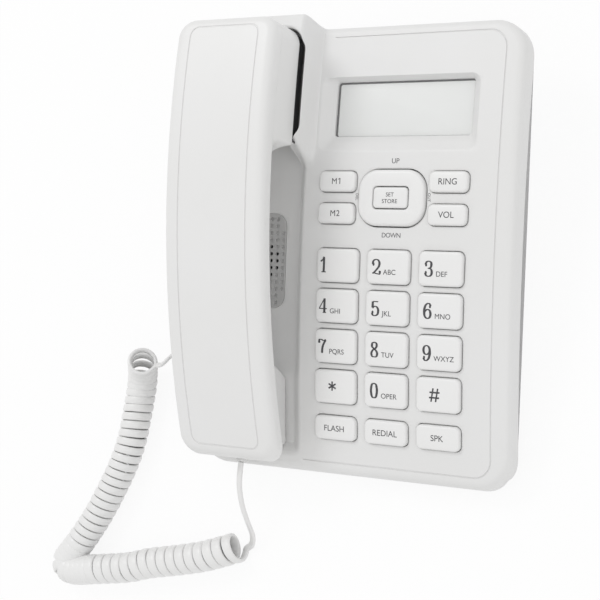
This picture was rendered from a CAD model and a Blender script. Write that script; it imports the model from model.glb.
import math
import bmesh
import bpy
from mathutils import Matrix, Vector


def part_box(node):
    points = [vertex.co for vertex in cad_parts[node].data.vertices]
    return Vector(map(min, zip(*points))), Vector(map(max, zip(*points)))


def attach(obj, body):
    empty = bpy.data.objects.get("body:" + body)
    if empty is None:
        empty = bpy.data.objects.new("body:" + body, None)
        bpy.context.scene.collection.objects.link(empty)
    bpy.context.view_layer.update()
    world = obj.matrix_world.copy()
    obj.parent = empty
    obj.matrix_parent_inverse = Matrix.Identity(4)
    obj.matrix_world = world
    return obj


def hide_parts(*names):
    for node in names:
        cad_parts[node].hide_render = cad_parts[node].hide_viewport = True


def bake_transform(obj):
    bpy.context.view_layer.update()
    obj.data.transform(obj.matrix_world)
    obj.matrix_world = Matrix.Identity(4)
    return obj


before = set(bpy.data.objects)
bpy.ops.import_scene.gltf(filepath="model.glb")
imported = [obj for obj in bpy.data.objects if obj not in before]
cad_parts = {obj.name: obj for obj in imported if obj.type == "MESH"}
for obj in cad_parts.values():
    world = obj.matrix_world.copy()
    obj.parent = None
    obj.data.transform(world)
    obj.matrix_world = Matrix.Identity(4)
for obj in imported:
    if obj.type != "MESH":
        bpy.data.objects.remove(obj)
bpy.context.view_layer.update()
mm = 0.001

# the arched face of the base: s runs up it from mid depth, w stands off it, all in millimetres
face = {"radius": 840.0, "tilt": math.radians(8.5), "height": 34.7}
faceAxis = (face["radius"] * math.sin(face["tilt"]), face["height"] - face["radius"] * math.cos(face["tilt"]))
# the arched back of the handset, highest near its rear end
back = {"radius": 380.0, "topY": 78.6, "topZ": 77.7}


def faceY(s, w=0.0):
    return faceAxis[0] - (face["radius"] + w) * math.sin(face["tilt"] - s / face["radius"])


def faceZ(s, w=0.0):
    return faceAxis[1] + (face["radius"] + w) * math.cos(face["tilt"] - s / face["radius"])


def faceS(y):
    return (face["tilt"] - math.asin((faceAxis[0] - y) / face["radius"])) * face["radius"]


def backZ(y, depth=0.0):
    return back["topZ"] - back["radius"] + math.sqrt((back["radius"] - depth) ** 2 - (y - back["topY"]) ** 2)


def ease(t):
    t = min(max(t, 0.0), 1.0)
    return t * t * (3 - 2 * t)


def makePiece(name, points, faces, sharp=32, tidy=0.0):
    mesh = bpy.data.meshes.new(name)
    mesh.from_pydata([Vector(p) * mm for p in points], [], faces)
    work = bmesh.new()
    work.from_mesh(mesh)
    if tidy:
        bmesh.ops.remove_doubles(work, verts=work.verts, dist=tidy * mm)
        bmesh.ops.dissolve_degenerate(work, edges=work.edges, dist=tidy * mm * 0.5)
    bmesh.ops.recalc_face_normals(work, faces=work.faces)
    work.to_mesh(mesh)
    work.free()
    piece = bpy.data.objects.new(name, mesh)
    bpy.context.scene.collection.objects.link(piece)
    softShade(piece, sharp)
    return piece


def softShade(piece, sharp=32):
    piece.data.polygons.foreach_set("use_smooth", [True] * len(piece.data.polygons))
    piece.data.set_sharp_from_angle(angle=math.radians(sharp))


def roundRect(width, length, radius, steps=6, centre=(0.0, 0.0)):
    radius = min(radius, width / 2 - 0.01, length / 2 - 0.01)
    points = []
    for k, (sx, sy) in enumerate([(1, 1), (-1, 1), (-1, -1), (1, -1)]):
        for i in range(steps + 1):
            turn = (k + i / steps) * math.pi / 2
            points.append((centre[0] + sx * (width / 2 - radius) + radius * math.cos(turn),
                           centre[1] + sy * (length / 2 - radius) + radius * math.sin(turn)))
    return points


def ring(outline, height):
    return [(x, y, height) for x, y in outline]


def circle(radius, count=24, centre=(0.0, 0.0)):
    return [(centre[0] + radius * math.cos(i * math.tau / count), centre[1] + radius * math.sin(i * math.tau / count))
            for i in range(count)]


# skin through rings of equal count, with flat ends or run round into itself
def skin(rings, loop=False):
    count, laps = len(rings[0]), len(rings)
    points = [p for r in rings for p in r]
    faces = [(i * count + k, i * count + (k + 1) % count, (i + 1) % laps * count + (k + 1) % count,
              (i + 1) % laps * count + k) for i in range(laps if loop else laps - 1) for k in range(count)]
    if not loop:
        faces += [tuple(range(count))[::-1], tuple((laps - 1) * count + k for k in range(count))]
    return points, faces


# rings of a pad whose upper rim is rounded by edge and whose top swells by crown
def padRings(width, length, low, high, radius, edge, crown=0.0, centre=(0.0, 0.0), steps=6, foot=0.25):
    rings = [ring(roundRect(width - 2 * foot, length - 2 * foot, radius - foot, steps, centre), low),
             ring(roundRect(width, length, radius, steps, centre), low + foot)]
    for i in range(6):
        turn = i / 5 * math.pi / 2
        inset = edge * (1 - math.cos(turn))
        rings.append(ring(roundRect(width - 2 * inset, length - 2 * inset, max(radius - inset, 0.3), steps, centre),
                          high - edge * (1 - math.sin(turn))))
    for share in (0.25, 0.5, 0.8) if crown else ():
        inset = edge + share * (min(width, length) / 2 - edge)
        rings.append(ring(roundRect(width - 2 * inset, length - 2 * inset, max(radius - inset, 0.2), steps, centre),
                          high + crown * math.sin(share * math.pi / 2)))
    return rings


# cutter with a rounded mouth: the edge it leaves is round
def mouthRings(width, length, low, high, radius, flare, centre=(0.0, 0.0), steps=6):
    rings = [ring(roundRect(width, length, radius, steps, centre), low)]
    for i in range(5):
        turn = i / 4 * math.pi / 2 * 0.9
        grow = flare * (1 - math.cos(turn))
        rings.append(ring(roundRect(width + 2 * grow, length + 2 * grow, radius + grow, steps, centre),
                          high - flare + flare * math.sin(turn)))
    grow = flare * 1.3
    rings.append(ring(roundRect(width + 2 * grow, length + 2 * grow, radius + grow, steps, centre), high + 0.06))
    rings.append(ring(roundRect(width + 2 * grow, length + 2 * grow, radius + grow, steps, centre), high + 6))
    return rings


# cuts or joins other meshes into a piece and removes them; place moves each onto its arch first
def cut(piece, cutters, join=False, place=None):
    for cutter in cutters:
        if place:
            bendMesh(cutter, place)
        change = piece.modifiers.new("cut", "BOOLEAN")
        change.operation = "UNION" if join else "DIFFERENCE"
        change.solver = "MANIFOLD"
        change.object = cutter
    bpy.context.view_layer.update()
    shape = bpy.data.meshes.new_from_object(piece.evaluated_get(bpy.context.evaluated_depsgraph_get()))
    piece.modifiers.clear()
    piece.data = shape
    for cutter in cutters:
        bpy.data.objects.remove(cutter)


def tool(rings):
    return makePiece("tool", *skin(rings))


def tidyMesh(piece, distance=0.004, sharp=32):
    work = bmesh.new()
    work.from_mesh(piece.data)
    bmesh.ops.remove_doubles(work, verts=work.verts, dist=distance * mm)
    bmesh.ops.dissolve_degenerate(work, edges=work.edges, dist=distance * mm)
    bmesh.ops.recalc_face_normals(work, faces=work.faces)
    work.to_mesh(piece.data)
    work.free()
    softShade(piece, sharp)


# moves every point of a mesh drawn flat onto its arched place
def bendMesh(piece, place):
    for v in piece.data.vertices:
        v.co = Vector(place(*(v.co / mm))) * mm
    piece.data.update()


# place of a piece that stands on the face as one stiff body
def onFace(x0, s0):
    tilt = face["tilt"] - s0 / face["radius"]
    return lambda x, y, z: (x0 + x, faceY(s0, z) + y * math.cos(tilt), faceZ(s0, z) + y * math.sin(tilt))


# one socket of a shader: sums and products of sockets and numbers add their own nodes
class Flow:
    def __init__(self, tree, socket=None):
        self.tree, self.socket = tree, socket

    def node(self, kind, settings=None, sockets=None, out=0):
        made = self.tree.nodes.new(kind)
        for key, value in (settings or {}).items():
            if key == "stops":
                ramp = made.color_ramp
                while len(ramp.elements) < len(value):
                    ramp.elements.new(0.5)
                for element, (place, colour) in zip(ramp.elements, value):
                    element.position, element.color = place, (*colour, 1.0)
            else:
                setattr(made, key, value)
        for key, value in (sockets or {}).items():
            if isinstance(value, Flow):
                self.tree.links.new(value.socket, made.inputs[key])
            else:
                made.inputs[key].default_value = value
        return Flow(self.tree, made.outputs[out] if len(made.outputs) else None)

    def math(self, operation, first, second=0.0):
        return self.node("ShaderNodeMath", {"operation": operation}, {0: first, 1: second})

    def mix(self, share, first, second):
        return self.node("ShaderNodeMix", {"data_type": "RGBA"}, {0: share, 6: first, 7: second}, out=2)

    def noise(self, place, scale, detail=2.0, rough=0.5):
        return self.node("ShaderNodeTexNoise", {}, {"Vector": place, "Scale": scale, "Detail": detail,
                                                    "Roughness": rough})

    def bump(self, height, strength):
        return self.node("ShaderNodeBump", {}, {"Height": height, "Strength": strength, "Distance": 0.0002})

    def __add__(self, other):
        return self.math("ADD", self, other)

    def __radd__(self, other):
        return self.math("ADD", other, self)

    def __sub__(self, other):
        return self.math("SUBTRACT", self, other)

    def __rsub__(self, other):
        return self.math("SUBTRACT", other, self)

    def __mul__(self, other):
        return self.math("MULTIPLY", self, other)

    def __rmul__(self, other):
        return self.math("MULTIPLY", other, self)


def newMaterial(name):
    made = bpy.data.materials.new(name)
    made.use_nodes = True
    made.node_tree.nodes.clear()
    flow = Flow(made.node_tree)
    return made, flow, flow.node("ShaderNodeTexCoord", {}, {}, out="Object")


def closeMaterial(flow, shader):
    flow.node("ShaderNodeOutputMaterial", {}, {"Surface": shader})


def closePlastic(flow, **values):
    closeMaterial(flow, flow.node("ShaderNodeBsdfPrincipled", {}, {
        key.replace("_", " "): value for key, value in values.items()}))


def solid(colour, strength=1.0):
    return (*[min(c * strength, 1.0) for c in colour], 1.0)


# moulded plastic: fine spark texture, slow colour drift and a little grime from handling
def mouldedPlastic(name, colour, rough=0.42, grain=0.05, grainSize=0.45, drift=0.018, grime=0.03):
    made, flow, place = newMaterial(name)
    slow = flow.noise(place, 18.0, 3.0, 0.55)
    cloud = flow.noise(place, 55.0, 5.0, 0.6)
    fine = flow.noise(place, 1000.0 / grainSize)
    dull = solid([c * (1 - drift) * t for c, t in zip(colour, (1.0, 0.995, 0.98))])
    base = flow.mix(slow, dull, solid(colour, 1 + drift))
    soil = flow.node("ShaderNodeMapRange", {}, {"Value": cloud, "From Min": 0.55, "From Max": 0.8, "To Max": grime})
    closePlastic(flow, Base_Color=flow.mix(soil, base, solid(colour, 0.62)), Roughness=rough + 0.1 * (cloud - 0.5),
                 Normal=flow.bump(fine, grain))
    return made


def brushedMetal(name, colour, rough=0.3):
    made, flow, place = newMaterial(name)
    spread = flow.node("ShaderNodeMapping", {}, {"Vector": place, "Scale": (1.0, 1.0, 14.0)})
    lines = flow.noise(spread, 900.0, 3.0)
    closePlastic(flow, Base_Color=flow.mix(lines, solid(colour, 0.85), solid(colour)), Metallic=1.0,
                 Roughness=rough + 0.15 * (lines - 0.5), Normal=flow.bump(lines, 0.08))
    return made


def circuitBoard(name):
    made, flow, place = newMaterial(name)
    cells = flow.node("ShaderNodeTexVoronoi", {"feature": "DISTANCE_TO_EDGE"}, {"Vector": place, "Scale": 260.0})
    track = flow.node("ShaderNodeMapRange", {}, {"Value": cells, "From Min": 0.04, "From Max": 0.07})
    closePlastic(flow, Base_Color=flow.mix(track, solid((0.06, 0.3, 0.12)), solid((0.02, 0.16, 0.07))), Roughness=0.35,
                 Normal=flow.bump(1 - track, 0.2))
    return made


def clearPlastic(name, colour, rough, clear, alpha=1.0):
    made, flow, place = newMaterial(name)
    closePlastic(flow, Base_Color=solid(colour), Roughness=rough + 0.08 * flow.noise(place, 70.0, 4.0), IOR=1.49,
                 Transmission_Weight=clear, Alpha=alpha)
    return made


def printedInk(name, colour):
    made, flow, place = newMaterial(name)
    speck = flow.noise(place, 2600.0)
    closePlastic(flow, Base_Color=flow.mix(speck, solid(colour, 0.8), solid(colour, 1.3)),
                 Roughness=0.55 + 0.1 * (speck - 0.5))
    return made


def greyGlass(name):
    made, flow, place = newMaterial(name)
    waves = flow.node("ShaderNodeTexWave", {"wave_type": "BANDS", "bands_direction": "X"},
                      {"Vector": place, "Scale": 700.0})
    closePlastic(flow, Base_Color=flow.mix(waves, solid((0.74, 0.75, 0.74)), solid((0.77, 0.78, 0.77))), Roughness=0.3)
    return made


finish = {
    "cover": mouldedPlastic("coverPlastic", (0.745, 0.745, 0.745), 0.44),
    "handset": mouldedPlastic("handsetPlastic", (0.765, 0.765, 0.765), 0.40, grain=0.035),
    "key": mouldedPlastic("keyPlastic", (0.80, 0.80, 0.80), 0.36, grain=0.02, grainSize=0.3),
    "grille": mouldedPlastic("grillePlastic", (0.50, 0.50, 0.50), 0.5),
    "inner": mouldedPlastic("innerPlastic", (0.70, 0.70, 0.69), 0.5),
    "silicone": mouldedPlastic("siliconeMat", (0.55, 0.56, 0.56), 0.55, grain=0.1, grainSize=0.8),
    "black": mouldedPlastic("blackPlastic", (0.03, 0.03, 0.032), 0.45),
    "rubber": mouldedPlastic("blackRubber", (0.035, 0.035, 0.035), 0.75, grain=0.2, grainSize=0.6),
    "cord": mouldedPlastic("cordVinyl", (0.80, 0.80, 0.80), 0.33, grain=0.03, grainSize=0.35, grime=0.05),
    "steel": brushedMetal("brightSteel", (0.62, 0.62, 0.63)),
    "board": circuitBoard("boardGreen"),
    "lens": clearPlastic("windowPlastic", (1.0, 1.0, 1.0), 0.03, 0.0, 0.07),
    "plug": clearPlastic("plugPlastic", (0.93, 0.94, 0.94), 0.12, 0.6),
    "lcd": greyGlass("lcdGlass"),
    "ink": printedInk("keyInk", (0.06, 0.06, 0.065)),
    "facePrint": printedInk("facePrint", (0.10, 0.10, 0.105)),
}


# finish, body and replaced nodes of a piece
def dress(piece, kind, body, nodes=()):
    piece.data.materials.clear()
    piece.data.materials.append(finish[kind])
    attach(piece, body)
    if nodes:
        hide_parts(*nodes)
    return piece


print("materials made")

camera = {"lens": 90.8, "turn": (3.02, -30.70, -2.85), "shift": (37.9, -3.7, -652.0), "faceTurn": 10.233,
          "origin": (21.5, -25.07, 30.57)}


def setCamera():
    a, b, c = (math.radians(t) for t in camera["turn"])
    turn = Matrix.Rotation(c, 3, "Z") @ Matrix.Rotation(b, 3, "Y") @ Matrix.Rotation(a, 3, "X")
    lean = Matrix.Rotation(math.radians(camera["faceTurn"]), 3, "X")
    spot = lean @ (-(turn.transposed() @ Vector(camera["shift"]))) + Vector(camera["origin"])
    data = bpy.data.cameras.new("viewer")
    data.lens, data.sensor_width = camera["lens"], 36.0
    data.clip_start, data.clip_end = 0.05, 20.0
    viewer = bpy.data.objects.new("viewer", data)
    bpy.context.scene.collection.objects.link(viewer)
    viewer.matrix_world = Matrix.Translation(spot * mm) @ (lean @ turn.transposed()).to_4x4()
    bpy.context.scene.camera = viewer


setCamera()

studio = {"world": 0.84, "lamps": [
    # name, place, size, watts
    ("keyLamp", (-0.6, 0.6, 1.15), 0.5, 3.6),
    ("fillLamp", (0.9, -0.35, 0.9), 1.0, 1.6)]}


def lightStudio():
    for name, spot, size, watts in studio["lamps"]:
        data = bpy.data.lights.new(name, "AREA")
        data.shape, data.size, data.energy = "DISK", size, watts
        lamp = bpy.data.objects.new(name, data)
        bpy.context.scene.collection.objects.link(lamp)
        lamp.location = spot
        lamp.rotation_euler = (Vector((0.0, -0.02, 0.02)) - Vector(spot)).to_track_quat("-Z", "Y").to_euler()
    world = bpy.data.worlds.new("studio")
    bpy.context.scene.world = world
    world.use_nodes = True
    world.node_tree.nodes.clear()
    flow = Flow(world.node_tree)
    seen = flow.node("ShaderNodeLightPath", {}, {}, out=0)
    flow.node("ShaderNodeOutputWorld", {}, {"Surface": flow.node("ShaderNodeMixShader", {}, {
        0: seen,
        1: flow.node("ShaderNodeBackground", {}, {"Color": (1, 1, 1, 1), "Strength": studio["world"]}),
        2: flow.node("ShaderNodeBackground", {}, {"Color": (1, 1, 1, 1), "Strength": 1.0})})})


def layFloor():
    half = 3000.0
    floor = makePiece("studioFloor", [(-half, -half, 0), (half, -half, 0), (half, half, 0), (-half, half, 0)],
                      [(0, 1, 2, 3)])
    made, flow, place = newMaterial("studioWhite")
    seen = sum(flow.node("ShaderNodeLightPath", {}, {}, out="Is " + kind + " Ray")
               for kind in ("Camera", "Glossy", "Transmission"))
    seen = flow.node("ShaderNodeClamp", {}, {"Value": seen})
    tone = flow.mix(flow.noise(place, 4.0), solid((0.88, 0.88, 0.88)), solid((0.9, 0.9, 0.9)))
    matt = flow.node("ShaderNodeBsdfDiffuse", {}, {"Color": tone})
    glow = flow.node("ShaderNodeEmission", {}, {"Color": (1, 1, 1, 1), "Strength": 1.0})
    closeMaterial(flow, flow.node("ShaderNodeMixShader", {}, {0: seen * 0.9, 1: matt, 2: glow}))
    floor.data.materials.append(made)


lightStudio()
layFloor()
bpy.context.scene.view_settings.view_transform = "Standard"
print("camera, lamps and floor set")

cord = {
    # flat wire: half widths along the coil's axis and across it; the coil's curls leg by leg
    "diameter": 3.7, "curlRadius": 6.6, "thin": 0.95, "leadWide": 1.6, "legs": [(26, 1.9), (9, 2.4), (16, 2.5)],
    "perCurl": 26, "sides": 16, "firstTurn": -135, "lastTurn": -65, "runIn": 2.0, "runOut": 1.0,
    "baseExit": (-71.5, -42, 9.2), "handsetExit": (-48.5, -97.5, 23.1),
    "leadIn": [(-77.1, -42.1, 9.2), (-88, -45, 12), (-95, -48.5, 15.5), (-98.5, -52.1, 18), (-101.5, -56.1, 19.6)],
    "leftLeg": [(-112.5, -55.2, 20.5), (-115.6, -57, 15.5), (-118.1, -60.9, 11.2), (-119.5, -66.1, 8.8),
                (-120.4, -73.4, 7.9), (-121, -81.8, 7.9), (-122, -92.2, 7.9), (-124.2, -101.7, 7.9),
                (-127.6, -111.3, 7.9), (-131.8, -121, 7.9), (-136.7, -131, 7.9), (-141.8, -139.7, 7.9),
                (-147.1, -147.7, 7.9)],
    "corner": [(-151.2, -153.3, 7.9), (-152.2, -156.9, 7.9), (-149, -158.9, 7.9), (-143.6, -158.9, 7.9)],
    "frontLeg": [(-136.4, -157.6, 7.9), (-125.7, -155.8, 7.9), (-113.9, -153.6, 7.9), (-102.6, -150.2, 7.9),
                 (-91.2, -147.7, 7.9), (-81.2, -145.4, 7.9), (-71.4, -142.8, 7.9), (-62.8, -139.7, 7.9),
                 (-54.7, -136.7, 7.9)],
    "leadOut": [(-53.3, -137, 1.9), (-51, -135.4, 2.4), (-49.4, -133, 3.8), (-48.6, -129.5, 6.5), (-49.2, -124.5, 10.5),
                (-50, -117.5, 15.3), (-50, -110.3, 19.2), (-49.3, -104.4, 21.7)]}


# point at u of a smooth curve through points
def splineAt(p, u):
    i = min(int(u), len(p) - 2)
    f = u - i
    a, b, c, d = (p[k] for k in (max(i - 1, 0), i, i + 1, min(i + 2, len(p) - 1)))
    return 0.5 * (2 * b + (c - a) * f + (2 * a - 5 * b + 4 * c - d) * f * f + (3 * b - a - 3 * c + d) * f ** 3)


def smoothLine(p, steps):
    return [splineAt(p, k / steps) for k in range((len(p) - 1) * steps + 1)]


def vectors(points):
    return [Vector(p) for p in points]


def lineLength(line):
    return sum((line[i + 1] - line[i]).length for i in range(len(line) - 1))


def alongLine(line, i):
    return (line[min(i + 1, len(line) - 1)] - line[max(i - 1, 0)]).normalized()


# evens out a list whose ends stay
def relaxed(values, keep, rounds):
    for _ in range(rounds):
        values = [values[0]] + [values[i] * keep + (values[i - 1] + values[i + 1]) * ((1 - keep) / 2)
                                for i in range(1, len(values) - 1)] + [values[-1]]
    return values


# points at equal steps along a line
def evenLine(line, count):
    step, gone, found = lineLength(line) / count, 0.0, [line[0]]
    for a, b in zip(line, line[1:]):
        span = (b - a).length
        while len(found) < count and gone + span >= step * len(found):
            found.append(a.lerp(b, (step * len(found) - gone) / span))
        gone += span
    return found + [line[-1]]


# middle of the coil, one point for each curl, and the wire's half width there
def coilRoute():
    fineSteps = 12
    every = vectors(cord["leftLeg"] + cord["corner"] + cord["frontLeg"])
    ends = [0, len(cord["leftLeg"]) - 1, len(cord["leftLeg"]) + len(cord["corner"]), len(every) - 1]
    fine = smoothLine(every, fineSteps)
    route, widths = [], []
    for first, last, (curls, wide) in zip(ends, ends[1:], cord["legs"]):
        route += evenLine(fine[first * fineSteps:last * fineSteps + 1], curls)[:-1]
        widths += [wide] * curls
    return route + [every[-1]], widths + [wide]


# middle line, outward direction and half width of the wire, curl by curl
def curlFrames():
    route, widths = coilRoute()
    last, perCurl, leadWide = len(route) - 1, cord["perCurl"], cord["leadWide"]
    turns = last - (cord["lastTurn"] - cord["firstTurn"]) / 360
    found = []
    for k in range(last * perCurl + 1):
        u = k / perCurl
        along = (splineAt(route, min(u + 0.4, last)) - splineAt(route, max(u - 0.4, 0))).normalized()
        side = along.cross(Vector((0, 0, 1))).normalized()
        turn = math.radians(cord["firstTurn"] - 360 * turns * u / last)
        out = math.cos(turn) * side + math.sin(turn) * side.cross(along)
        wide = leadWide + (widths[min(int(u + 0.5), last)] - leadWide) * ease(min(u, last - u) / 0.7)
        found.append((splineAt(route, u) + cord["curlRadius"] * out, out, wide))
    return found


def cordFrames():
    curls = curlFrames()
    leadWide, stepsPerPoint = cord["leadWide"], 8
    first, last = (curls[1][0] - curls[0][0]).normalized(), (curls[-1][0] - curls[-2][0]).normalized()
    leadIn = smoothLine(vectors([cord["baseExit"], *cord["leadIn"]]) + [curls[0][0] - cord["runIn"] * first],
                        stepsPerPoint)
    leadOut = smoothLine([curls[-1][0] + cord["runOut"] * last] + vectors([*cord["leadOut"], cord["handsetExit"]]),
                         stepsPerPoint)
    line = relaxed(leadIn + [c[0] for c in curls] + leadOut, 0.5, 3)
    outs = [None] * len(leadIn) + [c[1] for c in curls] + [None] * len(leadOut)
    wides = relaxed([leadWide] * len(leadIn) + [c[2] for c in curls] + [leadWide] * len(leadOut), 1 / 3, 12)
    for order in (range(len(leadIn) - 1, -1, -1), range(len(line) - len(leadOut), len(line))):
        for i in order:      # a lead carries on the direction of the curl that it leaves
            near, along = outs[i - order.step], alongLine(line, i)
            outs[i] = (near - along * near.dot(along)).normalized()
    return line, outs, wides


def buildCord():
    line, outs, wides = cordFrames()
    sides, rings = cord["sides"], []
    for i, p in enumerate(line):
        along = alongLine(line, i)
        out = (outs[i] - along * outs[i].dot(along)).normalized()
        flat = along.cross(out)
        rings.append([])
        for k in range(sides):
            c, t = math.cos(k * math.tau / sides), math.sin(k * math.tau / sides)
            rings[-1].append(p + flat * wides[i] * math.copysign(abs(c) ** 0.75, c)
                             + out * cord["thin"] * math.copysign(abs(t) ** 0.75, t))
    piece = makePiece("curly_cord", *skin(rings), sharp=60)
    piece.data.materials.append(finish["cord"])
    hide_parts("cord_base_lead", "cord_coil", "cord_handset_lead")
    return piece, line, lineLength(line)


# modular plug with its latch and a ribbed sleeve round the wire
def buildPlug(name, place, turn, body, node):
    plug = makePiece(name, *skin([
        ring(roundRect(7.0, 6.0, 0.4), -8.9), ring(roundRect(7.6, 6.5, 0.5), -8.5),
        ring(roundRect(7.6, 6.5, 0.5), 0.7), ring(roundRect(7.0, 5.9, 0.6), 1.0)]))
    ribs = [ring(roundRect(5.4, 4.3, 1.6), 0.6)]
    for k in range(3):
        low = 1.0 + k * 1.25
        rib, neck = roundRect(5.4 - k * 0.3, 4.3, 1.6), roundRect(4.5 - k * 0.2, 4.0, 1.8)
        ribs += [ring(rib, low), ring(rib, low + 0.7), ring(neck, low + 0.75), ring(neck, low + 1.2)]
    sleeve = makePiece(name + "_sleeve", *skin(ribs + [ring(roundRect(4.3, 4.0, 1.9), 4.9)]))
    latch = makePiece(name + "_latch", *skin([
        ring(roundRect(3.0, 0.9, 0.3, centre=(0, -3.6)), -8.2), ring(roundRect(3.0, 0.9, 0.3, centre=(0, -4.0)), -4.0),
        ring(roundRect(2.4, 0.8, 0.3, centre=(0, -4.4)), 0.8)]))
    made = Matrix.Translation(Vector(place) * mm) @ Matrix.Rotation(turn, 4, "Z") @ Matrix.Rotation(math.pi / 2, 4, "X")
    for part, kind in ((plug, "plug"), (sleeve, "cord"), (latch, "plug")):
        part.data.transform(made)
        dress(part, kind, body, (node,) if part is plug else ())
    return plug, sleeve, latch


basePlug = buildPlug("base_plug_body", (-66.5, -42, 9.2), -math.pi / 2, "base", "base_plug")
handsetPlug = buildPlug("handset_plug_body", (-48.5, -92.5, 23.1), 0.0, "handset", "handset_plug")
curlyCord, cordPath, cordLong = buildCord()
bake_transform(curlyCord)
cordLong * mm
[tuple(p * mm) for p in cordPath]
print("cord laid:", round(cordLong), "mm")

base = {"width": 157.0, "front": -98.0, "rear": 98.0, "corner": 15.0, "edge": 3.5, "rim": 10.0, "wall": 2.2}
hump = {"height": 12.0, "right": -23.4, "run": 5.6, "front": 35.0, "rise": 15.0, "lean": 4.2}
pocket = {"half": 26.8, "corner": 8.9, "front": 44.0, "rearY": 94.8, "floor": 2.7}
trough = {"centre": -48.5, "half": 20.2, "blend": 6.2, "deep": 6.0, "shallow": 4.0, "front": -88.3, "step": -57.0}
sFront, sRear = faceS(base["front"]), faceS(base["rear"])


# top of the base over the face: hump, ear pocket's mound and the channel under the handset
def topHeight(x, s):
    across = 1 - ease((x - hump["right"]) / hump["run"])
    along = ease((s - hump["front"]) / hump["rise"])
    mound = across * along
    side = 1 - ease((abs(x - trough["centre"]) - trough["half"]) / trough["blend"])
    end = ease((s - trough["front"] + 5.5) / 5.5)
    deep = trough["shallow"] + (trough["deep"] - trough["shallow"]) * ease((s - trough["step"]) / 1.5)
    return mound * hump["height"] - (1 - mound) * side * end * deep


# inside of the base's top, kept a wall below everything that is sunk into it
def cavityHeight(x, s):
    low = min(topHeight(x + d, s + e) for d, e in ((0, 0), (-3, 0), (4.5, 0), (0, -4))) - base["wall"]
    if abs(x - window["x"]) < window["width"] / 2 + 9 and abs(s - window["s"]) < window["length"] / 2 + 9:
        low = min(low, -window["depth"] - base["wall"])
    if abs(x - trough["centre"]) < 29 and s > 41:
        low = min(low, pocket["floor"] - base["wall"])
    if abs(x - trough["centre"]) < 23 and s < 51:
        low = min(low, -trough["deep"] - base["wall"])
    return low


def frange(first, last, step):
    count = max(1, round((last - first) / step))
    return [first + (last - first) * i / count for i in range(count + 1)]


# half outline of the base at an inset, from front to rear
def halfOutline(inset):
    half, r = base["width"] / 2, base["corner"]
    low, high = sFront, sRear
    stations = frange(low + r, 32, 3.2)[1:] + frange(32, 48, 1.0)[1:] + frange(48, high - r, 3.2)[1:-1]
    points = [(half - r + (r - inset) * math.cos(t), low + r + (r - inset) * math.sin(t))
              for t in frange(-math.pi / 2, 0, math.pi / 20)]
    points += [(half - inset, s) for s in stations]
    points += [(half - r + (r - inset) * math.cos(t), high - r + (r - inset) * math.sin(t))
               for t in frange(0, math.pi / 2, math.pi / 20)]
    return points


# slab from rings of half outlines; the last ring is closed by a grid on the given columns
def slab(name, columns, rings, level, middle=0.0):
    inner = rings[-1][0]
    between = [c for c in columns if abs(c) < inner[0][0] - 0.01]
    points, faces = [], []
    for outline, drop in rings:
        loop = outline + [(c, outline[-1][1]) for c in reversed(between)]
        loop += [(-x, s) for x, s in reversed(outline)] + [(c, outline[0][1]) for c in between]
        points += [(middle + x, s, level(x, s, drop)) for x, s in loop]
    count = len(points) // len(rings)
    for i in range(len(rings) - 1):
        faces += [(i * count + k, i * count + (k + 1) % count, (i + 1) * count + (k + 1) % count, (i + 1) * count + k)
                  for k in range(count)]
    faces.append(tuple(range(count)))
    start, wide = len(points), len(columns)
    for x, s in inner:
        points += [(middle + min(max(c, -x), x), s, level(min(max(c, -x), x), s, rings[-1][1])) for c in columns]
    for j in range(len(inner) - 1):
        faces += [(start + j * wide + k, start + j * wide + k + 1, start + (j + 1) * wide + k + 1,
                   start + (j + 1) * wide + k) for k in range(wide - 1)]
    return makePiece(name, points, faces, tidy=0.003)


def slabForm(name, inset, height, low, edge):
    columns = (frange(-78.5, -76, 0.9) + frange(-75.2, -67, 0.75) + frange(-64, -32, 5.0)
               + frange(-30.5, -12.5, 0.55) + frange(-8, 78.5, 9.0))

    def level(x, s, drop):
        return low if drop is None else height(x, s) - drop
    return slab(name, columns, [(halfOutline(inset), None)] + [
        (halfOutline(inset + edge * (1 - math.cos(i / 6 * math.pi / 2))), edge * (1 - math.sin(i / 6 * math.pi / 2)))
        for i in range(7)], level)


# flat drawing to its arched place; outer walls stay upright
def placeOnFace(x, s, w):
    half = base["width"] / 2
    near = min(half - abs(x), s - sFront, sRear - s)
    upright = 1 - ease(near / 9.0)
    y = faceY(s, w) * (1 - upright) + faceY(s, 0) * upright
    y += hump["lean"] * max(w, 0) / hump["height"] * ease((s - 95.2) / 2.4)
    z = faceAxis[1] + math.sqrt((face["radius"] + w) ** 2 - (min(y, base["rear"]) - faceAxis[0]) ** 2)
    return (x, y, z)


# places on the face are x and s; the gaps are all round
keypad = {"x": 21.5, "s": -25.4, "column": 25.0, "row": 17.8, "width": 20.4, "length": 14.8, "gap": 0.35, "rise": 2.0,
          "corner": 2.5, "lowRow": -3.03, "lowLength": 10.6, "sideColumn": 26.8, "sideRow": 7, "sideKey": (18.0, 9.0)}
rockerKey = {"s": keypad["s"] + 47.6, "width": 32.0, "length": 24.4, "corner": 9.0, "gap": 0.5}
window = {"x": 22.25, "s": 61.8, "width": 66.5, "length": 24.5, "depth": 3.8, "corner": 1.5,
          "frame": (9.5, 8.1), "frameShift": (-0.95, -2.65), "frameCorner": 4.2}
grille = {"spot": (-48.5, -6.5), "width": 28.0, "length": 43.0, "corner": 6.0, "pitch": 3.15, "hole": 0.85,
          "speaker": 11.3, "level": -6.0}
hookSlot = {"spot": (-48.5, 65.9), "size": (12.6, 6.6, 1.2)}
faceLine = {"right": 8.3, "front": 5.0, "rear": 4.9, "corner": 8.0, "starts": (-21, -12.2), "width": 0.75, "depth": 0.42}


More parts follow.
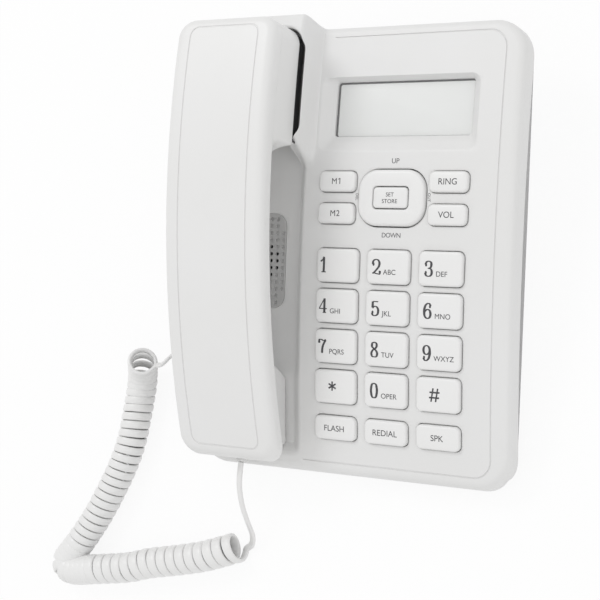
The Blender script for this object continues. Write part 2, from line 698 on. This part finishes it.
def keyPlaces():
    k, wide = keypad, keypad["width"]
    spots = {}
    for index, name in enumerate("1 2 3 4 5 6 7 8 9 star 0 hash".split()):
        spots["key_" + name] = (k["x"] + (index % 3 - 1) * k["column"], k["s"] + (1 - index // 3) * k["row"], wide,
                                k["length"])
    for index, name in enumerate("flash redial handsfree".split()):
        spots["key_" + name] = (k["x"] + (index - 1) * k["column"], k["s"] + k["lowRow"] * k["row"], wide,
                                k["lowLength"])
    for index, name in enumerate("m1 m2 ring volume".split()):
        spots["key_" + name] = (k["x"] + (2 * (index // 2) - 1) * k["sideColumn"],
                                rockerKey["s"] + (1 - 2 * (index % 2)) * k["sideRow"], *k["sideKey"])
    return spots


keySpots = keyPlaces()


# cutter for a fine groove along a path, closed or with narrowed ends
def grooveTool(path, width, depth, top, flare, closed=False):
    rings, last = [], len(path) - 1
    for i, (x, s) in enumerate(path):
        before = path[i - 1] if closed else path[max(i - 1, 0)]
        after = path[(i + 1) % len(path)] if closed else path[min(i + 1, last)]
        along = Vector((after[0] - before[0], after[1] - before[1], 0)).normalized()
        side, half = Vector((-along.y, along.x, 0)), width / 2 * (1.0 if closed or 0 < i < last else 0.4)
        rings.append([Vector((x, s, up)) + side * across for across, up in (
            (half + flare, top), (half, 0), (half / 2, -depth), (-half / 2, -depth), (-half, 0), (-half - flare, top))])
    return makePiece("tool", *skin(rings, closed))


def arcLine(cx, cy, r, first, last, count=8):
    return [(cx + r * math.cos(math.radians(a)), cy + r * math.sin(math.radians(a)))
            for a in frange(first, last, (last - first) / count)]


# ear pocket, with its floor on a grid and a soft lip
def pocketTool():
    half, r, low, high = pocket["half"], pocket["corner"], pocket["front"], faceS(pocket["rearY"])

    def outline(grow):
        points = [(half - r + (r + grow) * math.cos(t), low + r + (r + grow) * math.sin(t))
                  for t in frange(-math.pi / 2, 0, math.pi / 20)]
        points += [(half + grow, s) for s in frange(low + r, high - r, 3)[1:-1]]
        return points + [(half - r + (r + grow) * math.cos(t), high - r + (r + grow) * math.sin(t))
                         for t in frange(0, math.pi / 2, math.pi / 20)]
    lips = [(0.9, 30.0), (0.9, 12.06), (0.45, 11.8), (0.15, 11.4), (0.0, 10.9), (0.0, pocket["floor"])]
    return slab("tool", frange(-28, 28, 4), [(outline(g), w) for g, w in lips], lambda x, s, w: w, trough["centre"])


# sloping frame round the display, open below it
def displayTool():
    x0, s0, wide, long = window["x"], window["s"], window["width"], window["length"]
    inner = roundRect(wide, long, window["corner"], centre=(x0, s0))
    outer = roundRect(wide + window["frame"][0], long + window["frame"][1], window["frameCorner"],
                      centre=(x0 + window["frameShift"][0], s0 + window["frameShift"][1]))
    slope = [(0.03, -3.45), (0.5, -1.95), (0.9, -0.55), (0.97, -0.28), (1.03, -0.1), (1.12, 0.05), (1.12, 8)]
    return tool([ring(inner, -14), ring(inner, -3.7)] + [
        ring([(a[0] + (b[0] - a[0]) * t, a[1] + (b[1] - a[1]) * t) for a, b in zip(inner, outer)], w)
        for t, w in slope])


def faceLineTool():
    line, (lowStart, highStart) = faceLine, faceLine["starts"]
    right, low, high, r = base["width"] / 2 - line["right"], sFront + line["front"], sRear - line["rear"], line["corner"]
    path = [(x, low) for x in frange(lowStart, right - r, 9)] + arcLine(right - r, low + r, r, -90, 0)[1:]
    path += [(right, s) for s in frange(low + r, high - r, 6)][1:] + arcLine(right - r, high - r, r, 0, 90)[1:]
    path += [(x, high) for x in frange(right - r, highStart, 9)][1:]
    return grooveTool(path, line["width"], line["depth"], 2.0, 0.3)


def buildBase():
    shell = slabForm("base_shell", 0.0, topHeight, -base["rim"], base["edge"])
    cavity = slabForm("cavity", base["wall"], cavityHeight, -base["rim"] - 3, 1.5)
    bendMesh(shell, placeOnFace)
    cut(shell, [cavity], place=placeOnFace)
    hs = trough["centre"]
    tools = [pocketTool(), tool([ring(roundRect(41.4, 15.2, 1.0, centre=(hs, 41.6)), w) for w in (-5.98, 30)])]
    for x, s, wide, tall in keySpots.values():
        gap = keypad["gap"]
        tools.append(tool(mouthRings(wide + 2 * gap, tall + 2 * gap, -8, 0, keypad["corner"] + gap, 0.45, (x, s))))
    gap = rockerKey["gap"]
    tools.append(tool(mouthRings(rockerKey["width"] + 2 * gap, rockerKey["length"] + 2 * gap, -8, 0,
                                 rockerKey["corner"] + gap, 0.5, (keypad["x"], rockerKey["s"]), 10)))
    tools.append(displayTool())
    tools.append(tool(mouthRings(grille["width"] + 0.2, grille["length"] + 0.2, -7.25, grille["level"],
                                 grille["corner"] + 0.05, 0.25, grille["spot"], 10)))
    tools.append(tool([ring(circle(12.3, 40, grille["spot"]), w) for w in (-14, 4)]))
    tools.append(tool([ring(roundRect(*hookSlot["size"], centre=hookSlot["spot"]), w) for w in (-9, 4)]))
    tools.append(faceLineTool())
    cut(shell, tools, place=placeOnFace)
    tidyMesh(shell)
    dress(shell, "cover", "base", ("top_cover",))
    print("base shell:", len(shell.data.polygons), "faces")


buildBase()

tub = {"half": 66.5, "front": -86.0, "rear": 76.0, "corner": 8.0, "wall": 2.2, "footX": 52.5, "footIn": 26,
       "screws": [(-61.2, -77.8), (61.2, -77.8), (-61.2, 41.0), (61.2, 41.0)], "keyholes": (-40.0, 40.0)}


def footPlaces():
    return [(x, y) for x in (-tub["footX"], tub["footX"])
            for y in (tub["front"] + tub["footIn"], tub["rear"] - tub["footIn"])]


def keyholeOutline(y):
    return (arcLine(0, y, 4, 120, 420, 20) + [(2, y + 9)] + arcLine(0, y + 9, 2, 15, 165, 10) + [(-2, y + 9)])


def buildTub():
    middle, half = (tub["front"] + tub["rear"]) / 2, (tub["rear"] - tub["front"]) / 2
    corners = roundRect(2 * tub["half"], 2 * half, tub["corner"], 8, (0.0, middle))
    outline = []
    for a, b in zip(corners, corners[1:] + corners[:1]):      # points about 6 mm apart
        parts = max(1, round(math.dist(a, b) / 6.0))
        outline += [(a[0] + (b[0] - a[0]) * k / parts, a[1] + (b[1] - a[1]) * k / parts) for k in range(parts)]

    def inset(amount):
        return [(x * (tub["half"] - amount) / tub["half"], middle + (y - middle) * (half - amount) / half)
                for x, y in outline]

    def topRing(points, w):
        return [(x, y, faceZ(faceS(y), w)) for x, y in points]
    walls = makePiece("base_tub", *skin([ring(inset(g), h) for g, h in ((1.4, 1.0), (0.75, 1.15), (0.25, 1.6), (0.0, 2.4))]
                                        + [topRing(inset(0.0), -9.6)]), sharp=40)
    cut(walls, [slabForm("pan", 2.5, lambda x, s: -8.6, -10.0, 0.4)], join=True, place=placeOnFace)
    tools = [makePiece("tool", *skin([ring(inset(tub["wall"]), 3.2), topRing(inset(tub["wall"]), -3)]))]
    tools += [tool([ring(circle(g, 32, spot), h) for g, h in ((6.7, 0.5), (6.7, 1.0), (6.3, 1.2), (6.2, 2.0))])
              for spot in footPlaces()]
    tools += [tool([ring(circle(g, 24, spot), h) for g, h in ((3.2, 0.5), (3.2, 1.0), (2.85, 1.25), (2.85, 2.2))])
              for spot in tub["screws"]]
    tools += [tool([ring(keyholeOutline(y), h) for h in (0.5, 5.0)]) for y in tub["keyholes"]]
    tools.append(tool([ring(roundRect(13.1, 6.0, 0.4, centre=(20, 76)), h) for h in (4.55, 16.65)]))      # line jack
    tools.append(tool([ring(roundRect(6.0, 13.1, 0.4, centre=(-66.5, -42)), h) for h in (3.15, 15.25)]))      # cord jack
    cut(walls, tools)
    tidyMesh(walls, sharp=35)
    dress(walls, "cover", "base", ("bottom_cover",))
    print("tub:", len(walls.data.polygons), "faces")


buildTub()


def keyCap(name, spot):
    x, s, wide, tall = spot
    cap = makePiece(name + "_cap", *skin(padRings(wide, tall, -2.4, keypad["rise"], keypad["corner"], 1.15, 0.18)))
    skirt = tool([ring(roundRect(wide + g, tall + g, r), h) for g, r, h in
                  ((2.4, 3.7, -3.4), (2.4, 3.7, -2.45), (2.2, 3.6, -2.4))])
    stem = tool([ring(roundRect(a, b, r), h) for a, b, r, h in
                 ((6.8, 4.3, 0.9, -5.2), (7, 4.5, 1.0, -5.0), (7, 4.5, 1.0, -3.0))])
    cut(cap, [skirt, stem], join=True)
    bendMesh(cap, onFace(x, s))
    tidyMesh(cap, 0.002)
    dress(cap, "key", name, (name,))


# strokes with thick uprights and thin level lines, then serifs as x, y and half width, then dots with radii;
# a stroke may start with a share of the thickness
serifDigits = {
    "1": ([[(-1.1, 2.35), (-0.25, 2.75), (0.05, 3.05), (0.05, 0.1)]], [(0.05, 0.09, 1.25)], []),
    "2": ([[(-1.2, 2.1), (-1.05, 2.75), (-0.35, 3.1), (0.45, 3.0), (0.95, 2.45), (0.85, 1.75), (0.1, 1.0), (-0.8, 0.35),
            (-1.25, 0.2), (-0.6, 0.25), (0.4, 0.1), (1.05, 0.12), (1.2, 0.75)]], [], [(-0.98, 2.1, 0.34)]),
    "3": ([[(-1.1, 2.3), (-0.75, 2.9), (0.0, 3.1), (0.7, 2.8), (0.75, 2.1), (0.3, 1.7), (-0.3, 1.62)],
           [(-0.3, 1.62), (0.5, 1.55), (0.98, 1.0), (0.8, 0.3), (0.1, 0.0), (-0.75, 0.15), (-1.15, 0.75)]], [],
          [(-0.88, 2.3, 0.32), (-0.92, 0.75, 0.34)]),
    "4": ([[(0.45, 0.1), (0.45, 3.1)], [0.45, (0.4, 3.05), (-1.35, 0.95)], [(-1.4, 0.92), (1.3, 0.92)]],
          [(0.45, 0.09, 1.0)], []),
    "5": ([[(0.95, 2.95), (-0.75, 2.95)], [(-0.8, 2.95), (-0.9, 1.65)],
           [(-0.9, 1.6), (-0.2, 1.95), (0.55, 1.8), (1.0, 1.2), (0.85, 0.4), (0.15, 0.02), (-0.7, 0.1), (-1.1, 0.65)]], [],
          [(-0.86, 0.7, 0.34)]),
    "6": ([[(1.0, 2.5), (0.6, 3.0), (0.0, 3.08), (-0.7, 2.6), (-1.05, 1.6), (-0.85, 0.5), (-0.1, 0.0), (0.7, 0.25),
            (1.0, 0.95), (0.65, 1.65), (-0.05, 1.85), (-0.75, 1.5), (-1.0, 1.1)]], [], [(0.78, 2.45, 0.32)]),
    "7": ([[(-1.15, 2.2), (-1.05, 2.85), (-0.4, 2.95), (0.4, 2.75), (1.15, 2.95)],
           [(1.15, 2.9), (0.4, 2.0), (0.0, 1.1), (-0.1, 0.1)]], [], [(-0.1, 0.3, 0.3)]),
    "8": ([[(0.0, 3.08), (-0.65, 2.85), (-0.78, 2.2), (-0.2, 1.75), (0.5, 1.35), (0.95, 0.75), (0.65, 0.12), (0.0, -0.02),
            (-0.7, 0.12), (-0.98, 0.75), (-0.5, 1.4), (0.3, 1.8), (0.75, 2.3), (0.6, 2.85), (0.0, 3.08)]], [], []),
    "9": ([[(-1.0, 0.6), (-0.6, 0.08), (0.0, 0.0), (0.7, 0.5), (1.05, 1.5), (0.85, 2.6), (0.1, 3.08), (-0.7, 2.85),
            (-1.0, 2.15), (-0.65, 1.45), (0.05, 1.25), (0.75, 1.6), (1.0, 2.0)]], [], [(-0.78, 0.65, 0.32)]),
    "0": ([[(0.0, 3.08), (-0.7, 2.75), (-1.0, 1.55), (-0.7, 0.35), (0.0, 0.0), (0.7, 0.35), (1.0, 1.55), (0.7, 2.75),
            (0.0, 3.08)]], [], []),
    "*": ([[(0.0, 0.75), (0.0, 2.75)], [(-0.87, 1.25), (0.87, 2.25)], [(-0.87, 2.25), (0.87, 1.25)]], [], []),
    "#": ([[(-0.75, 0.2), (-0.3, 3.0)], [(0.3, 0.2), (0.75, 3.0)], [(-1.2, 1.05), (1.1, 1.05)],
           [(-1.1, 2.15), (1.2, 2.15)]], [], []),
}


def inkDigit(glyph, x0, y0, size):
    points, faces = [], []

    def quadStrip(line, thick, thin):
        if not isinstance(line[0], tuple):
            thick, line = thick * line[0], line[1:]
        fine = smoothLine([Vector((*p, 0)) for p in line], 7) if len(line) > 2 else vectors([(*p, 0) for p in line])
        start = len(points)
        for i, p in enumerate(fine):
            along = alongLine(fine, i)
            half = (thin + (thick - thin) * abs(along.y) ** 1.5) / 2
            side = Vector((-along.y, along.x, 0)) * half
            points.extend([p + side, p - side])
        for i in range(len(fine) - 1):
            k = start + 2 * i
            faces.append((k, k + 1, k + 3, k + 2))
    lines, serifs, dots = serifDigits[glyph]
    even = glyph in "*#"
    for line in lines:
        quadStrip(line, 0.34 if even else 0.74, 0.34 if even else 0.22)
    for x, y, half in serifs:
        quadStrip([(x - half * 0.6, y), (x + half * 0.6, y)], 0.2, 0.2)
    for x, y, r in dots:
        start = len(points)
        points.extend(vectors(ring(circle(r, 14, (x, y)), 0)))
        faces.append(tuple(range(start, start + 14)))
    return [(x0 + p.x * size * (1.0 if even else 0.72), y0 + p.y * size, 0.0) for p in points], faces


# plain bars of one width through points
def inkBars(lines, wide):
    points, faces = [], []
    for line in lines:
        for a, b in zip(line, line[1:]):
            along = (Vector(b) - Vector(a)).normalized()
            side = Vector((-along.y, along.x)) * wide / 2
            faces.append(tuple(range(len(points), len(points) + 4)))
            points += [(*(Vector(p) + side * way), 0) for p, way in ((a, -1), (b, -1), (b, 1), (a, 1))]
    return points, faces


def inkText(words, x0, y0, size, align="CENTER", turn=0.0, spacing=1.0):
    curve = bpy.data.curves.new("letters", "FONT")
    curve.body, curve.size, curve.align_x, curve.space_character = words, size, align, spacing
    holder = bpy.data.objects.new("letters", curve)
    bpy.context.scene.collection.objects.link(holder)
    bpy.context.view_layer.update()
    mesh = bpy.data.meshes.new_from_object(holder.evaluated_get(bpy.context.evaluated_depsgraph_get()))
    spin = Matrix.Rotation(turn, 3, "Z")
    points = [spin @ v.co for v in mesh.vertices]
    faces = [tuple(p.vertices) for p in mesh.polygons]
    bpy.data.objects.remove(holder)
    return [(x0 + p.x, y0 + p.y, 0.0) for p in points], faces


# thin film of ink from drawn layers
def inkPiece(name, layers, place, body, kind="ink"):
    points, faces = [], []
    for p, f in layers:
        faces += [tuple(len(points) + i for i in g) for g in f]
        points += p
    piece = makePiece(name, points, faces)
    lift = piece.modifiers.new("film", "SOLIDIFY")
    lift.thickness, lift.offset = 0.03 * mm, 1.0
    bendMesh(piece, place)
    return dress(piece, kind, body)


letters = {"2": "ABC", "3": "DEF", "4": "GHI", "5": "JKL", "6": "MNO", "7": "PQRS", "8": "TUV", "9": "WXYZ",
           "0": "OPER"}
wordKeys = {"key_flash": "FLASH", "key_redial": "REDIAL", "key_handsfree": "SPK", "key_m1": "M1", "key_m2": "M2",
            "key_ring": "RING", "key_volume": "VOL"}


# height of a cap's swollen top
def crown(wide, tall, x, y, high=2.0, swell=0.18, edge=1.15):
    reach = min(wide, tall) / 2
    near = min(wide / 2 - abs(x), tall / 2 - abs(y))
    share = min(max((near - edge) / (reach - edge), 0.0), 1.0)
    return high + swell * math.sin(share * math.pi / 2) + 0.012


def buildKeys():
    for name, spot in keySpots.items():
        keyCap(name, spot)
        x, s, wide, tall = spot
        if name in ("key_m1", "key_m2"):
            layers = [inkText("M", -1.0, -1.25, 3.7)]
            layers.append(inkText("2", 1.6, -1.25, 3.7) if name == "key_m2" else inkBars([
                [(1.0, 0.75), (1.75, 1.3), (1.75, -1.25)]], 0.36))
        elif name in wordKeys:
            layers = [inkText(wordKeys[name], 0.0, -1.25, 3.7 if tall > 10 else 3.8)]
        else:
            short = name.split("_")[1]
            glyph = {"star": "*", "hash": "#"}.get(short, short)
            left = {"1": -6.3, "4": -6.0, "7": -6.0, "*": -0.9, "#": -1.2}.get(glyph, -5.1)
            layers = [inkDigit(glyph, left, -3.2, 2.05)]
            if short in letters:
                layers.append(inkText(letters[short], left + 3.3, -3.2, 3.15, align="LEFT"))
        flat = onFace(x, s)
        inkPiece(name + "_legend", layers, lambda a, b, c: flat(a, b, crown(wide, tall, a, b)), name)
    print("keys made:", len(keySpots))


buildKeys()


def buildRocker():
    kx, s = keypad["x"], rockerKey["s"]
    flat = onFace(kx, s)
    pad = makePiece("rocker_pad", *skin(padRings(rockerKey["width"], rockerKey["length"], -3.4, 2.0, rockerKey["corner"],
                                                 1.6, 0.0, steps=12)), sharp=40)
    cut(pad, [tool(mouthRings(17.4, 10.0, -2.4, 2.0, 2.0, 0.6)), tool([ring(circle(3.8, 32), h) for h in (-9, 0)])])
    bendMesh(pad, flat)
    tidyMesh(pad, 0.002)
    dress(pad, "key", "rocker", ("rocker",))
    button = makePiece("set_button_cap", *skin(padRings(16.4, 9.0, -0.9, 2.4, 1.6, 0.8, 0.12)))
    cut(button, [tool([ring(circle(g, 24), h) for g, h in ((3.0, -4.6), (3.2, -4.4), (3.2, -0.5))])], join=True)
    bendMesh(button, flat)
    tidyMesh(button, 0.002)
    dress(button, "key", "set_button", ("set_button",))
    inkPiece("set_button_legend", [inkText("SET", 0, 0.45, 2.5), inkText("STORE", 0, -2.4, 2.5)],
             lambda a, b, c: flat(a, b, crown(16.4, 9.0, a, b, 2.4, 0.12, 0.8)), "set_button")
    marks = [inkText("UP", kx + 0.6, s + 15.0, 3.1), inkText("DOWN", kx + 0.3, s - 17.0, 2.9, spacing=0.9),
             inkText("DEL", kx - 17.9, s + 0.4, 1.8, turn=-math.pi / 2),
             inkText("OUT", kx + 17.0, s + 0.4, 1.8, turn=-math.pi / 2)]
    inkPiece("face_prints", marks, lambda a, b, c: placeOnFace(a, b, 0.012), "base", "facePrint")


buildRocker()

def buildDisplay():
    lens = makePiece("display_lens", *skin(padRings(70.1, 28.1, -5.0, -3.82, 1.9, 0.12, foot=0.1)))
    panel = makePiece("lcd_glass", *skin(padRings(67.4, 25.4, -6.58, -5.02, 1.0, 0.1, foot=0.1)))
    gasket = makePiece("lcd_gasket", *skin([ring(roundRect(67.2, 25.2, 1.2), h) for h in (-5.018, -5.002)]))
    cut(gasket, [tool([ring(roundRect(65.2, 23.2, 1.0, centre=(0.35, -0.3)), h) for h in (-5.5, -4.5)])])
    for piece, kind, nodes in ((lens, "lens", ("display_window",)), (panel, "lcd", ("lcd_panel",)), (gasket, "black", ())):
        bendMesh(piece, onFace(window["x"], window["s"]))
        dress(piece, kind, "base", nodes)


# holes go through only over the speaker; the others are dimples
def buildGrille():
    level, hole = grille["level"], grille["hole"]
    panel = makePiece("grille_panel", *skin(padRings(grille["width"], grille["length"], level - 1.2, level,
                                                     grille["corner"], 0.3, steps=8, foot=0.1)))
    tools = []
    for i in range(-4, 5):
        for j in range(-6, 7):
            if abs(i) == 4 and abs(j) > 4:
                continue
            spot = (i * grille["pitch"], j * grille["pitch"])
            low = level - (2.0 if math.hypot(*spot) < grille["speaker"] else 0.55)
            tools.append(tool([ring(circle(r, 14, spot), h) for r, h in
                               ((hole, low), (hole, level - 0.12), (hole + 0.17, level + 0.02), (hole + 0.17, level + 1))]))
    cut(panel, tools)
    bendMesh(panel, onFace(*grille["spot"]))
    tidyMesh(panel, 0.002)
    dress(panel, "grille", "base", ("speaker_grille",))


def buildHook():
    low, high = (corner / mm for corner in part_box("hook_plunger"))
    spot = ((low.x + high.x) / 2, (low.y + high.y) / 2)
    rings = [ring(roundRect(a, b, 1.0, centre=spot), low.z + h) for a, b, h in ((16, 10, 0), (16, 10, 1.6), (12, 6, 1.6))]
    for i in range(6):
        turn = i / 5 * math.pi / 2
        inset = 1.0 * (1 - math.cos(turn))
        rings.append(ring(roundRect(12 - 2 * inset, 6 - 2 * inset, 1.2, centre=spot), high.z - 1.0 + math.sin(turn)))
    dress(makePiece("hook_button", *skin(rings)), "key", "hook_plunger", ("hook_plunger",))


def buildFeet():
    profile = [(4.2, 0.35), (4.5, 0.08), (4.9, 0.0), (5.5, 0.0), (5.85, 0.12), (6.0, 0.4), (6.0, 2.0)]
    points, faces = [], []
    for spot in footPlaces():
        p, f = skin([ring(circle(r, 40, spot), h) for r, h in profile])
        faces += [tuple(len(points) + i for i in g) for g in f]
        points += p
    dress(makePiece("rubber_pads", points, faces), "rubber", "base", ("rubber_feet",))


buildDisplay()
buildGrille()
buildHook()
buildFeet()
print("display, grille, hook and feet made")

shellBack = {"width": 51.4, "front": -96.0, "rear": 94.0, "corner": 8.4, "depth": 7.0, "edge": 4.0}
hs = -48.5


def backOutline(inset):
    half, r = shellBack["width"] / 2, shellBack["corner"]
    low, high = shellBack["front"], shellBack["rear"]
    points = [(half - r + (r - inset) * math.cos(t), low + r + (r - inset) * math.sin(t))
              for t in frange(-math.pi / 2, 0, math.pi / 24)]
    points += [(half - inset, y) for y in frange(low + r, high - r, 3.6)[1:-1]]
    points += [(half - r + (r - inset) * math.cos(t), high - r + (r - inset) * math.sin(t))
               for t in frange(0, math.pi / 2, math.pi / 24)]
    return points


# slab under the arched back between two depths, in plain plan places
def backSlab(name, inset, top, low, edge):
    rings = [(backOutline(inset), low)]
    for i in range(8):
        turn = i / 7 * math.pi / 2
        rings.append((backOutline(inset + edge * (1 - math.cos(turn))), top + edge * (1 - math.sin(turn))))
    return slab(name, frange(-25.7, 25.7, 3.0), rings, lambda x, y, depth: -depth)


def placeOnBack(x, y, d):
    return (hs + x, y, backZ(y, -d))


def buildHandsetBack():
    shell = backSlab("handset_shell", 0.0, 0.0, shellBack["depth"], shellBack["edge"])
    hollow = backSlab("hollow", 1.8, 1.8, 9.0, 3.0)
    path = []
    half, low, high, r = 25.7 - 8.0, shellBack["front"] + 4.6, shellBack["rear"] - 4.4, 4.2
    path += [(0.0, low)] + [(x, low) for x in frange(4, half - r, 4)] + arcLine(half - r, low + r, r, -90, 0)[1:]
    path += [(half, y) for y in frange(low + r, high - r, 5)][1:] + arcLine(half - r, high - r, r, 0, 90)[1:]
    path += [(x, high) for x in frange(half - r, 0, 4)][1:]
    path += [(-x, y) for x, y in reversed(path[1:-1])]
    # closed loop: same start and end
    loop = [(x, y, 0.0) for x, y in path]
    rings = []
    for i, (x, y, w) in enumerate(loop):
        a, b = loop[i - 1], loop[(i + 1) % len(loop)]
        along = Vector((b[0] - a[0], b[1] - a[1], 0)).normalized()
        side = Vector((-along.y, along.x, 0))
        here = Vector((x, y, w))
        rings.append([here + side * 0.75 + Vector((0, 0, 1.5)), here + side * 0.4, here + side * 0.2 - Vector((0, 0, 0.4)),
                      here - side * 0.2 - Vector((0, 0, 0.4)), here - side * 0.4, here - side * 0.75 + Vector((0, 0, 1.5))])
    n = len(rings)
    points = [p for r2 in rings for p in r2]
    faces = [(i * 6 + k, i * 6 + (k + 1) % 6, ((i + 1) % n) * 6 + (k + 1) % 6, ((i + 1) % n) * 6 + k)
             for i in range(n) for k in range(6)]
    groove = makePiece("tool", points, faces)
    bendMesh(shell, placeOnBack)
    cut(shell, [hollow, groove], place=placeOnBack)
    tidyMesh(shell)
    dress(shell, "handset", "handset", ("handset_back",))


# underside of the handset along its middle, and how far its flanks stand out there
front = {"earFront": 42.0, "mouthRear": -52.0, "grip": 18.0, "gripHalf": 17.5, "earFace": 3.0, "mouthFace": -3.7, "cup": 12.1, "cupStep": 1.3}


def underside(y):
    s = faceS(y)
    grip = backZ(y, front["grip"])
    earLevel, mouthLevel = faceZ(s, front["earFace"]), faceZ(s, front["mouthFace"])
    ear = ease((s - 38.5) / 8.5)
    mouth = 1 - ease((s + 60.0) / 9.0)
    low = grip + (earLevel - grip) * ear
    low = low + (mouthLevel - low) * mouth
    return low


def buildHandsetFront():
    stations = (frange(-95.9, -84, 1.0) + frange(-83, -62, 3.0) + frange(-61, -46, 0.8) + frange(-44, 36, 4.0)
                + frange(37, 52, 0.7) + frange(54, 80, 3.0) + frange(80.5, 93.9, 0.8))
    rings = []
    half, r = 25.7, shellBack["corner"]
    for y in stations:
        edgeY = min(y - shellBack["front"], shellBack["rear"] - y)
        wide = half if edgeY > r else half - r + math.sqrt(max(r * r - (r - edgeY) ** 2, 0.01))
        rim = backZ(y, shellBack["depth"] + 0.06)
        low = underside(y)
        s = faceS(y)
        ear = ease((s - 35.5) / 7.5)
        foot = front["gripHalf"] + (half - 0.15 - front["gripHalf"]) * ear
        # front end slopes up from the foot of the mouth block to the rim
        if y < -86.4:
            lift = min(1.0, (-86.4 - y) / 9.5)
            low = low + (rim - 0.3 - low) * lift
        foot = min(foot, wide - 0.05)
        shoulder = max(rim - (15 - 7) * 1.0, low + 0.6)
        soft = min(2.5 + 1.5 * ear, (shoulder - low) * 0.8, foot * 0.5)
        section = [(wide, rim)]
        for t in (0.34, 0.67):
            section.append((wide + (foot - wide) * ease(t), rim + (shoulder - rim) * t))
        # the ear cup steps in where it sinks into its pocket
        step = faceZ(s, front["cup"])
        step = min(max(step, low + soft + 0.02), shoulder - 0.4)
        inner = foot - front["cupStep"] * ease((s - 43.5) / 2.5)
        lip = min(0.7, (shoulder - step) * 0.4) if inner < foot else 0.0
        section += [(foot, shoulder), (foot, step + lip), (foot - lip * 0.3, step + lip * 0.3), (foot - lip, step),
                    (inner, step), (inner, low + soft)]
        for i in range(1, 7):
            turn = i / 6 * math.pi / 2
            section.append((inner - soft * (1 - math.cos(turn)), low + soft * (1 - math.sin(turn))))
        foot = inner
        section.append(((foot - soft) * 0.5, low))
        full = section + [(-x, z) for x, z in reversed(section)]
        rings.append([(hs + x, y, z) for x, z in full])
    shell = makePiece("handset_inner", *skin(rings), sharp=38)
    tools = []
    plate = []
    for i in range(-2, 3):
        for j in range(-2, 3):
            if math.hypot(i, j) < 2.5:
                plate.append((i * 4.0, 69.0 + j * 4.0, 1.0))
    for x, s, r0 in plate + [(0.0, -71.0, 1.0)]:
        low = faceZ(s, front["earFace"] if s > 0 else front["mouthFace"])
        yy = faceY(s, 0)
        tools.append(tool([ring(circle(r0 + 0.35, 16, (hs + x, yy)), low - 2), ring(circle(r0 + 0.3, 16, (hs + x, yy)), low - 0.02),
                           ring(circle(r0, 16, (hs + x, yy)), low + 0.35), ring(circle(r0, 16, (hs + x, yy)), low + 2.2)]))
    for s, w in ((-60.4, front["mouthFace"]), (47.0, front["earFace"])):
        low = faceZ(s, w)
        tools.append(tool([ring(circle(2.8, 28, (hs, faceY(s, w))), low - 3), ring(circle(2.8, 28, (hs, faceY(s, w))), low + 2.2)]))
    tools.append(tool([ring(roundRect(13.1, 16.0, 0.5, centre=(hs, -92.0)), h) for h in (23.1 - 6.05, 23.1 + 6.05)]))
    cut(shell, tools)
    tidyMesh(shell, 0.002, 38)
    dress(shell, "handset", "handset", ("handset_front",))
    shell.data.materials.append(finish["black"])
    for side in shell.data.polygons:      # the cup's sunken wall is dark
        x, y, z = side.center * 1000
        if faceS(y) > 44 and front["earFace"] + 3 < math.hypot(y - faceAxis[0], z - faceAxis[1]) - face["radius"] < front["cup"] + 0.3 and abs(x - hs) > 8:
            side.material_index = 1
    print("handset:", len(shell.data.polygons), "faces")


buildHandsetBack()
buildHandsetFront()

carried = {
    "inner": ["lcd_frame", "base_cord_jack", "line_jack", "handset_cord_jack"],
    "steel": ["case_screws", "board_screws", "handset_screws", "speaker_clamp", "hook_spring", "handset_weight",
              "microphone"],
    "black": ["base_speaker", "hook_switch", "earpiece", "microphone_boot", "rocker_pivot"],
    "silicone": ["keypad_mat"],
    "board": ["keypad_board", "main_board"],
}
for kind, names in carried.items():
    for name in names:
        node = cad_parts[name]
        node.data.materials.clear()
        node.data.materials.append(finish[kind])
print("solids dressed")
